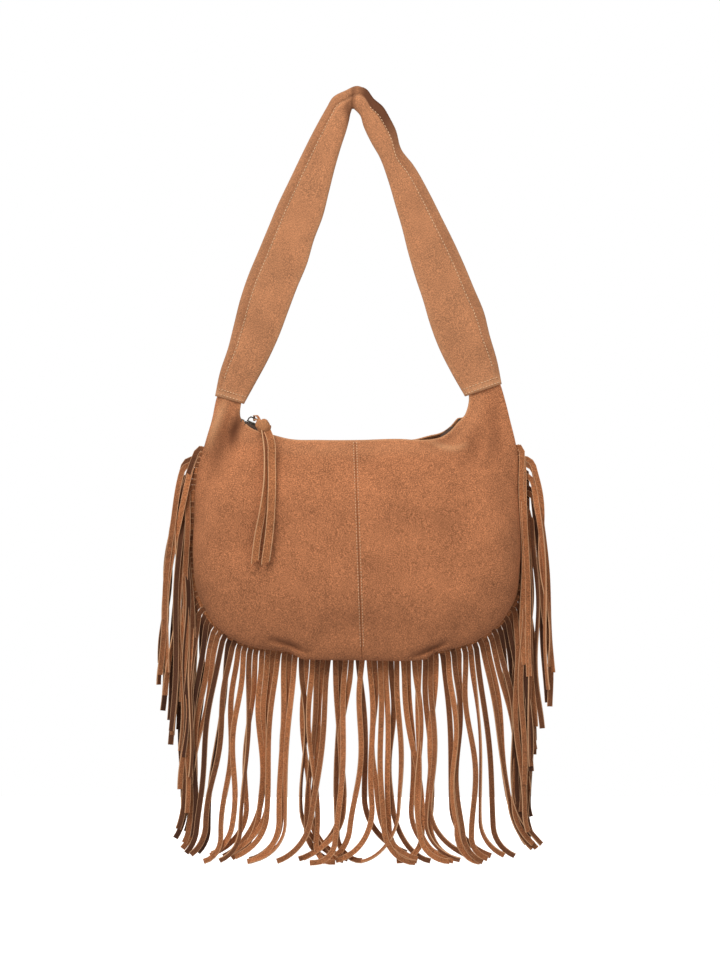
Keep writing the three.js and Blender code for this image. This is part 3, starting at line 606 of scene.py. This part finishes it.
strap_outer = course(STRAP_OUTER, STRAP_STATIONS)
strap_inner = course(STRAP_INNER, STRAP_STATIONS)
t = np.linspace(0, 1, STRAP_STATIONS)
strap_centre = (strap_outer + strap_inner) / 2
strap_across = (strap_outer - strap_inner) / 2
strap_half = np.linalg.norm(strap_across, axis=1)
thick = np.interp(t, np.linspace(0, 1, 9), STRAP_HALF_THICKNESS)
thick = np.convolve(np.pad(thick, 8, "edge"), np.ones(17) / 17, "valid")
angles = 2 * np.pi * (np.arange(STRAP_SIDES) + 0.5) / STRAP_SIDES
v = np.sign(np.cos(angles)) * np.abs(np.cos(angles)) ** 0.85
bulge = np.sign(np.sin(angles)) * np.abs(np.sin(angles)) ** 0.75
seam_inset = SEAM_INSET * (0.58 + 0.42 * smooth(np.minimum(t, 1 - t) / 0.14))
corners, painted_shade, pale_and_painted_highlight = [], [], []
for i in range(STRAP_STATIONS):
    inset = (1 - v) * strap_half[i]
    groove = np.exp(-((inset - seam_inset[i]) / 1.8) ** 2)
    ends = smooth(min(t[i], 1 - t[i]) / 0.02)
    wrinkle = np.array([noise.noise(Vector((
        (strap_centre[i, 0] + strap_across[i, 0] * c) / 24, s * 2.3,
        (strap_centre[i, 1] + strap_across[i, 1] * c) / 30))) for c, s in zip(v, np.sign(bulge))])
    y = bulge * thick[i] * (1 - 0.24 * groove * ends) + np.sign(bulge) * np.abs(bulge) * 0.8 * wrinkle
    # over the peg the right leg turns back on itself along a fold
    fold = smooth((t[i] - 0.50) / 0.03) * smooth((0.66 - t[i]) / 0.12)
    y = y + np.where(bulge < 0, 1, 0) * 3.0 * fold * smooth((v - 0.25) / 0.5)
    crease = np.exp(-((t[i] - 0.503) / 0.004) ** 2)
    y = y * (1 - 0.35 * crease)
    for c, depth, g, w in zip(v, y, groove, wrinkle):
        flat = strap_centre[i] + strap_across[i] * c
        corners.append((flat[0] * MM, depth * MM, flat[1] * MM))
        outside_row = float((1 - c) * strap_half[i] < seam_inset[i] + 0.8) * ends
        tuck = np.exp(-((t[i] - 0.488) / 0.013) ** 2) * float(smooth((0.35 - c) / 0.5))
        turned_back = fold * float(smooth((c - 0.30) / 0.14))
        # painted shade on the facet turned back at the fold, in the crease and the tuck over the peg and in
        # the troughs of the wrinkles; the strip outside the seam row is darker too
        painted_shade.append(0.22 * outside_row + 0.92 * turned_back + 0.5 * crease + 0.75 * tuck
                     + 0.12 * float(smooth(-w * 1.4)))
        # paler a little all over and at the ends, with a painted highlight along the seam row, and along both
        # edges partly wear and partly a painted highlight
        pale_and_painted_highlight.append(0.16 + 0.34 * abs(c) ** 10 + 0.30 * (1 - ends) + 0.25 * g ** 4 * ends)
mesh = bpy.data.meshes.new("strap_suede")
faces = [(i * STRAP_SIDES + j, i * STRAP_SIDES + (j + 1) % STRAP_SIDES,
          (i + 1) * STRAP_SIDES + (j + 1) % STRAP_SIDES, (i + 1) * STRAP_SIDES + j)
         for i in range(STRAP_STATIONS - 1) for j in range(STRAP_SIDES)]
mesh.from_pydata(corners, [], faces)
sides = bmesh.new()
sides.from_mesh(mesh)
bmesh.ops.recalc_face_normals(sides, faces=sides.faces)
sides.to_mesh(mesh)
sides.free()
for label, values in (("painted_shade", painted_shade), ("pale_and_painted_highlight", pale_and_painted_highlight)):
    mesh.attributes.new(label, "FLOAT", "POINT").data.foreach_set("value", values)
strap_suede = suede("strap_suede", "#b3754e", "#d6a37a", "#68402a")
mesh.materials.append(strap_suede)
mesh.shade_smooth()
strap = bpy.data.objects.new("strap_suede", mesh)
bpy.context.scene.collection.objects.link(strap)
wall = strap.modifiers.new("wall", "SOLIDIFY")
wall.thickness = SUEDE_THICKNESS * MM
wall.offset = -1
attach(strap, "bag")
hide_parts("strap")

# Its stitches: one row along the outer edge, and two across each end where it laps over the ear.
unit = strap_across / strap_half[:, None]
along_row = strap_outer - unit * seam_inset[:, None]
front_y = -0.76 * thick - 0.1
edge_row = np.stack([along_row[:, 0], front_y, along_row[:, 1]], axis=1)
stitch_rows("strap_edge_stitches", [edge_row[8:124], edge_row[140:-8]], pitch=3.4, length=2.4)
lap_rows = []
for first, second in ((1, 3), (STRAP_STATIONS - 2, STRAP_STATIONS - 4)):
    for station in (first, second):
        c = np.linspace(-0.86, 0.80, 24)
        flat = strap_centre[station] + strap_across[station] * c[:, None]
        depth = -thick[station] * (1 - np.abs(c) ** 2.35) ** 0.375 - 0.5
        lap_rows.append(np.stack([flat[:, 0], depth, flat[:, 1]], axis=1))
stitch_rows("strap_lap_stitches", lap_rows)


# The fringe: one strip of thinner suede whose uncut header is sewn into the outer seam.  It is cut into
# laces that leave the seam outwards, bend over and hang.  The side laces pile up on the ones below.
FRINGE_START = (-147.5, -340)
FRINGE_END = (162.8, -338)
LACE_PITCH = 5.6
LACE_WIDTH = 5.5
LACE_THICKNESS = 1.2
LACE_LENGTH = 226
LACE_STEPS = 42
HEADER_DEPTH = 8
HEADER_SHOWS = 3.4  # the cuts stop this far short of the seam
BODY_LEFT = -157  # the widest places of the body, beside which the side laces pile up
BODY_RIGHT = 165
PILE_FROM = 2
PILE_WIDTH = 30

rng = np.random.default_rng(11)
shares = np.linspace(0, 1, 3001)
first_share = shares[np.hypot(*(outline - FRINGE_START).T).argmin()]
last_share = shares[np.hypot(*(outline - FRINGE_END).T).argmin()]
outline_length = np.linalg.norm(np.diff(outline, axis=0), axis=1).sum()
lace_count = round((last_share - first_share) * outline_length / LACE_PITCH)
lace_shares = first_share + (last_share - first_share) * (np.arange(lace_count) + 0.5) / lace_count
tip_floor = floor_z / MM + 3.8
lace_paths, lace_ways, lace_painted_shades = [], [], []
for k, at in enumerate(lace_shares):
    root, ahead = at_share(outline, np.array([at, at + 0.002]))
    tangent_way = (ahead - root) / np.linalg.norm(ahead - root)
    outward = np.array([tangent_way[1], -tangent_way[0]])
    leave = math.atan2(outward[0], -outward[1])  # angle from straight down, positive to the right
    side_part = float(smooth((abs(outward[0]) - 0.25) / 0.6))
    rank = min(k, lace_count - 1 - k)
    way_out = -1 if k < lace_count / 2 else 1
    pile = max(0.0, 1 - rank / 24) ** 0.8
    middle_part = 1 - side_part
    lean = middle_part * (rng.normal(0, 0.035) + 0.05 * (root[0] - 5) / 110)
    if rng.random() < 0.12:
        lean += rng.choice([-1, 1]) * rng.uniform(0.05, 0.11) * middle_part
    amount, reach, phase = rng.uniform(0.04, 0.15), rng.uniform(110, 200), rng.uniform(0, 6.28)
    curl_way, curl = rng.choice([-1, 1]), rng.uniform(22, 70)
    curl_way = way_out if abs(root[0]) > 70 else curl_way
    # a side lace hangs at its own place in the pile, the upper ones farther out
    pile = float(np.clip(pile + rng.normal(0, 0.16), 0, 1))
    if rng.random() < 0.4 and rank > 3:
        pile = rng.uniform(0, 0.35)
    # the first two on the right hang flat beside the body
    hangs_flat = way_out > 0 and rank < 2
    if hangs_flat:
        pile = 0.06 + 0.16 * rank
    bend = 13 - 5 * side_part + 15 * side_part * pile * (rank > 1)
    hang_x = (BODY_LEFT if way_out < 0 else BODY_RIGHT) + way_out * (PILE_FROM + PILE_WIDTH * pile)
    layer = middle_part * ((k % 3 - 1) * 3.4 + rng.normal(0, 1.2))
    layer += side_part * (rng.uniform(-10, 9) - 4 * pile)
    drift = rng.normal(0, 5) * middle_part
    twist_end = np.radians(rng.normal(0, 22) * (1 + 0.35 * side_part))
    twist_middle = np.radians(rng.normal(0, 24) * (1 + 0.35 * side_part))
    if hangs_flat:
        layer, twist_end, twist_middle = -9.0, 0.1, 0.0
    length = LACE_LENGTH + rng.normal(0, 2.0)
    step = length / LACE_STEPS
    place = root - outward * 2.0
    path, ways = [], []
    for n in range(LACE_STEPS + 1):
        s = n * step
        heading = leave * (1 - float(smooth(s / bend))) + lean * (1 - 0.6 * s / length)
        outwards = float(np.clip((hang_x + way_out * 0.05 * max(0, s - 90) - place[0]) / 75, -0.4, 0.4))
        heading += side_part * outwards * float(smooth(s / bend))
        heading += amount * math.sin(2 * math.pi * s / reach + phase) * float(smooth(s / 40))
        height = place[1] - tip_floor
        heading += curl_way * math.asin(float(np.clip(1 - height / curl, 0, 0.999)))
        y = layer * float(smooth(s / 55)) + drift * float(smooth((s - 60) / 160))
        path.append((place[0], y, max(place[1], tip_floor - 1.2)))
        turn = twist_middle * math.sin(math.pi * s / length) + twist_end * float(smooth((s - 40) / 160))
        turn = float(np.clip(turn, -1.2, 1.2)) * float(smooth((s - 4) / 50))
        level = np.array([math.cos(heading), 0, math.sin(heading)])
        ways.append(np.array([0, -1.0, 0]) * math.cos(turn) + level * math.sin(turn))
        place = place + step * np.array([math.sin(heading), -math.cos(heading)])
    lace_paths.append(np.array(path))
    lace_ways.append(np.array(ways))
    # painted shade: laces farther back and in the side piles are in shadow, and so are the tops of all of
    # them beside the seam; each lace also gets a random darkness of its own
    run = np.linspace(0, 1, LACE_STEPS + 1)
    own = 0.66 * rng.uniform() ** 2.2 + middle_part * 0.02 * layer
    own += side_part * (rng.uniform(0.22, 0.95) + 0.032 * layer)
    if hangs_flat:
        own = 0.15
    under = (middle_part * 0.16 + side_part * (0.46 - own)) * np.exp(-run / 0.05)
    lace_painted_shades.append(np.clip(own + under, 0, 0.94))
fringe_suede = suede("fringe_suede", "#ac6d45", "#c48a5e", "#3c2217", rim="#dcab82")
fringe = grown("fringe_laces", lace_tree, lace_paths, lace_ways, fringe_suede, lace_painted_shades,
               width=LACE_WIDTH * MM, thickness=LACE_THICKNESS * MM)
header_shares = np.linspace(first_share, last_share, 160)
header = at_share(outline, header_shares)
header_way = np.gradient(header, axis=0)
header_way /= np.linalg.norm(header_way, axis=1)[:, None]
header_out = np.stack([header_way[:, 1], -header_way[:, 0]], axis=1)
joined = bmesh.new()
joined.from_mesh(fringe.data)
grid = [[joined.verts.new((p[0] * MM, y * MM, p[1] * MM)) for p, y in (
    (root - out * HEADER_DEPTH, -0.6), (root + out * HEADER_SHOWS, -0.6), (root + out * HEADER_SHOWS, 0.6),
    (root - out * HEADER_DEPTH, 0.6))] for root, out in zip(header, header_out)]
for near, far in zip(grid, grid[1:]):
    for j in range(4):
        joined.faces.new((near[j], near[(j + 1) % 4], far[(j + 1) % 4], far[j]))
joined.faces.new(grid[0][::-1])
joined.faces.new(grid[-1])
bmesh.ops.recalc_face_normals(joined, faces=joined.faces)
joined.to_mesh(fringe.data)
joined.free()
soft_edges(fringe)
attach(fringe, "bag")
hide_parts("fringe")


# The zip: a coarse metal zip on a woven tape, let in along the scooped top between front and back.
zip_centre = np.array([-2.0, -75.0])
ZIP_RADIUS = 262
ZIP_START = -23.6  # degrees from straight down, as is the end
ZIP_END = 23.9
TOOTH_STEP = 2.3
ZIP_BELOW_EDGE = 2.8
ZIP_SLIVER = 5.4  # rise back above that at the right end


def zip_row(first, last, side_y, count):
    """Points along the zip at a distance from its centre line.  Past the closed slider it dips from the
    arc of the slider's travel, to lie just behind the panels' edge."""
    a = np.radians(np.linspace(first, last, count))
    x = zip_centre[0] + ZIP_RADIUS * np.sin(a)
    arc = zip_centre[1] - ZIP_RADIUS * np.cos(a)
    span = top_line[500:2500]
    order = np.argsort(span[:, 0])
    edge = np.interp(x, span[order, 0], span[order, 1]) - ZIP_BELOW_EDGE
    edge += ZIP_SLIVER * smooth((x - 85) / 9)
    behind = smooth((x + 90) / 12)
    return np.stack([x, np.full(count, side_y), arc + (np.minimum(edge, arc) - arc) * behind], axis=1)


# Gunmetal: blackened brass, stamped and tumbled, so it is dark with soft highlights and fine marks.
gunmetal = bpy.data.materials.new("gunmetal_brass")
gunmetal.use_nodes = True
tree = gunmetal.node_tree
metal = tree.nodes["Principled BSDF"]
place = node(tree, "ShaderNodeTexCoord", {}).outputs["Object"]
marks = node(tree, "ShaderNodeTexNoise", {"Vector": place, "Scale": 900.0, "Detail": 4.0})
rough = node(tree, "ShaderNodeMapRange", {0: marks.outputs["Fac"], 1: 0.3, 2: 0.7, 3: 0.30, 4: 0.48})
tone = node(tree, "ShaderNodeMix", {
    0: marks.outputs["Fac"], 6: linear("#3b3733"), 7: linear("#6a6259")}, data_type="RGBA")
tree.links.new(rough.outputs[0], metal.inputs["Roughness"])
tree.links.new(tone.outputs[2], metal.inputs["Base Color"])
metal.inputs["Metallic"].default_value = 1.0

arc_run = math.radians(ZIP_END - ZIP_START) * ZIP_RADIUS
tooth_count = int(arc_run / TOOTH_STEP)
for name, side, shift in (("front", -1, 0.0), ("back", 1, 0.5)):
    offset = math.degrees(shift * TOOTH_STEP / ZIP_RADIUS)
    row = zip_row(ZIP_START + offset, ZIP_END - 0.5 + offset, side * 1.55, 2 * tooth_count)
    ways = np.tile((0.0, -1.0, 0.0), (len(row), 1))
    teeth = grown(f"zip_teeth_{name}_row", stitch_tree, [row], [ways], gunmetal,
                  pitch=TOOTH_STEP * MM, length=1.5 * MM, thread=2.9 * MM)
    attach(teeth, "bag")
    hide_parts(f"zip_teeth_{name}")

TAPE_PAST_TEETH = 0.3  # degrees of the zip's arc
TAPE_POINTS = 120
TAPE_THICKNESS = 0.8
MARGIN_DROP = 3.4
tape_weave = fibre("polyester_tape", "#55443a", 0.85, 0.9)
lining_cotton = fibre("lining_cotton", "#6f4f38", 0.95, 0.7)
for word, side in (("front", -1), ("back", 1)):
    # each tape lies level beside the teeth, and its margin turns down where it is sewn to the panel
    level = zip_row(ZIP_START - TAPE_PAST_TEETH, ZIP_END + TAPE_PAST_TEETH, side * 5.2, TAPE_POINTS)
    level_ways = np.tile((0.0, 0.0, 1.0), (TAPE_POINTS, 1))
    tape = grown(f"zip_tape_{word}_woven", lace_tree, [level], [level_ways], tape_weave,
                 width=3.6 * MM, thickness=TAPE_THICKNESS * MM)
    sewn = zip_row(ZIP_START - TAPE_PAST_TEETH, ZIP_END + TAPE_PAST_TEETH, side * 7.1, TAPE_POINTS)
    sewn = sewn - (0, 0, MARGIN_DROP)
    sewn_ways = np.tile((0.0, 1.0, 0.0), (TAPE_POINTS, 1))
    margin = grown(f"zip_tape_{word}_margin", lace_tree, [sewn], [sewn_ways], tape_weave,
                   width=7.2 * MM, thickness=TAPE_THICKNESS * MM)
    for piece in (tape, margin):
        soft_edges(piece)
        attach(piece, "bag")
    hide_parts(f"zip_tape_{word}")
for name, material in (("lining_front", lining_cotton), ("lining_back", lining_cotton),
                       ("zip_top_stop_front", gunmetal), ("zip_top_stop_back", gunmetal),
                       ("zip_bottom_stop", gunmetal)):
    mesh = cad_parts[name].data
    mesh.materials.clear()
    mesh.materials.append(material)

# The slider is cast, so its corners are slightly rounded.
slider_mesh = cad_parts["zip_slider"].data.copy()
slider_mesh.name = "zip_slider_cast"
merged = bmesh.new()
merged.from_mesh(slider_mesh)
bmesh.ops.remove_doubles(merged, verts=merged.verts, dist=1e-6)
merged.to_mesh(slider_mesh)
merged.free()
slider_mesh.materials.clear()
slider_mesh.materials.append(gunmetal)
slider = bpy.data.objects.new("zip_slider_cast", slider_mesh)
bpy.context.scene.collection.objects.link(slider)
rounding = slider.modifiers.new("rounding", "BEVEL")
rounding.width = 0.25 * MM
rounding.segments = 2
rounding.limit_method = "ANGLE"
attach(slider, "slider")
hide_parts("zip_slider")
